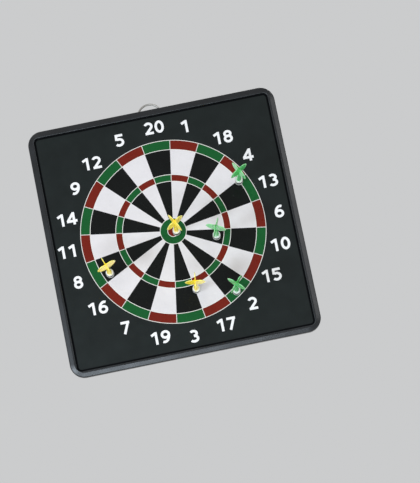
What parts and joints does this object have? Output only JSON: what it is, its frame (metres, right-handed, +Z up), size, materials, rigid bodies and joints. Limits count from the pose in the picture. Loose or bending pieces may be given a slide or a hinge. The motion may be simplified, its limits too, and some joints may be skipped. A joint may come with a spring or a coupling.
{
  "type": "magnetic dartboard",
  "caption": "Square reversible magnetic dartboard with a black rim and wire hanging bail: a scoring dart face in front, a baseball game face behind, and magnetic darts with leaf flights.",
  "frame": {"origin": "hang point, at the inside top of the wire hanging bail, over the middle of the board's top edge", "axes": "+Z up, +Y from the dart face to the baseball face (the wall side), +X to the right for someone facing the dart face"},
  "size_m": [0.315, 0.093, 0.3236],
  "materials": {
    "frame_plastic": "satin moulded black",
    "dart_face_print": "satin printed film, black with red, green and white scoring rings",
    "baseball_face_print": "satin printed film, ball field in green, tan and blue",
    "sheet_steel": "bare sheet",
    "core_board": "plain grey-brown board",
    "nickel_wire": "nickel plated wire",
    "nickel_plate": "nickel plated, bright",
    "holder_plastic": "ribbed black",
    "yellow_barrel_plastic": "gloss, slightly translucent",
    "yellow_flight_plastic": "translucent",
    "green_barrel_plastic": "gloss, slightly translucent",
    "green_flight_plastic": "translucent"
  },
  "bodies": {
    "board": {"front_frame": "frame_plastic", "rear_frame": "frame_plastic", "dart_print": "dart_face_print", "front_steel": "sheet_steel", "core_panel": "core_board", "rear_steel": "sheet_steel", "baseball_print": "baseball_face_print"},
    "hanger": {"hanger_bail": "nickel_wire"},
    "dart_yellow_1": {"magnet_yellow_1": "nickel_plate", "holder_yellow_1": "holder_plastic", "collar_yellow_1": "nickel_plate", "barrel_yellow_1": "yellow_barrel_plastic", "flight_yellow_1": "yellow_flight_plastic"},
    "dart_yellow_2": {"magnet_yellow_2": "nickel_plate", "holder_yellow_2": "holder_plastic", "collar_yellow_2": "nickel_plate", "barrel_yellow_2": "yellow_barrel_plastic", "flight_yellow_2": "yellow_flight_plastic"},
    "dart_yellow_3": {"magnet_yellow_3": "nickel_plate", "holder_yellow_3": "holder_plastic", "collar_yellow_3": "nickel_plate", "barrel_yellow_3": "yellow_barrel_plastic", "flight_yellow_3": "yellow_flight_plastic"},
    "dart_green_1": {"magnet_green_1": "nickel_plate", "holder_green_1": "holder_plastic", "collar_green_1": "nickel_plate", "barrel_green_1": "green_barrel_plastic", "flight_green_1": "green_flight_plastic"},
    "dart_green_2": {"magnet_green_2": "nickel_plate", "holder_green_2": "holder_plastic", "collar_green_2": "nickel_plate", "barrel_green_2": "green_barrel_plastic", "flight_green_2": "green_flight_plastic"},
    "dart_green_3": {"magnet_green_3": "nickel_plate", "holder_green_3": "holder_plastic", "collar_green_3": "nickel_plate", "barrel_green_3": "green_barrel_plastic", "flight_green_3": "green_flight_plastic"}
  },
  "joints": [
    {"name": "hanger_swing", "type": "hinge", "parent": "board", "child": "hanger", "pos_m": [0, 0, -0.0094], "axis": [1, 0, 0], "range_deg": [-35, 35]},
    {"name": "yellow_1_pull", "type": "slide", "parent": "board", "child": "dart_yellow_1", "axis": [0, -1, 0], "range_m": [0, 0.1]},
    {"name": "yellow_2_pull", "type": "slide", "parent": "board", "child": "dart_yellow_2", "axis": [0, -1, 0], "range_m": [0, 0.1]},
    {"name": "yellow_3_pull", "type": "slide", "parent": "board", "child": "dart_yellow_3", "axis": [0, -1, 0], "range_m": [0, 0.1]},
    {"name": "green_1_pull", "type": "slide", "parent": "board", "child": "dart_green_1", "axis": [0, -1, 0], "range_m": [0, 0.1]},
    {"name": "green_2_pull", "type": "slide", "parent": "board", "child": "dart_green_2", "axis": [0, -1, 0], "range_m": [0, 0.1]},
    {"name": "green_3_pull", "type": "slide", "parent": "board", "child": "dart_green_3", "axis": [0, -1, 0], "range_m": [0, 0.1]}
  ]
}
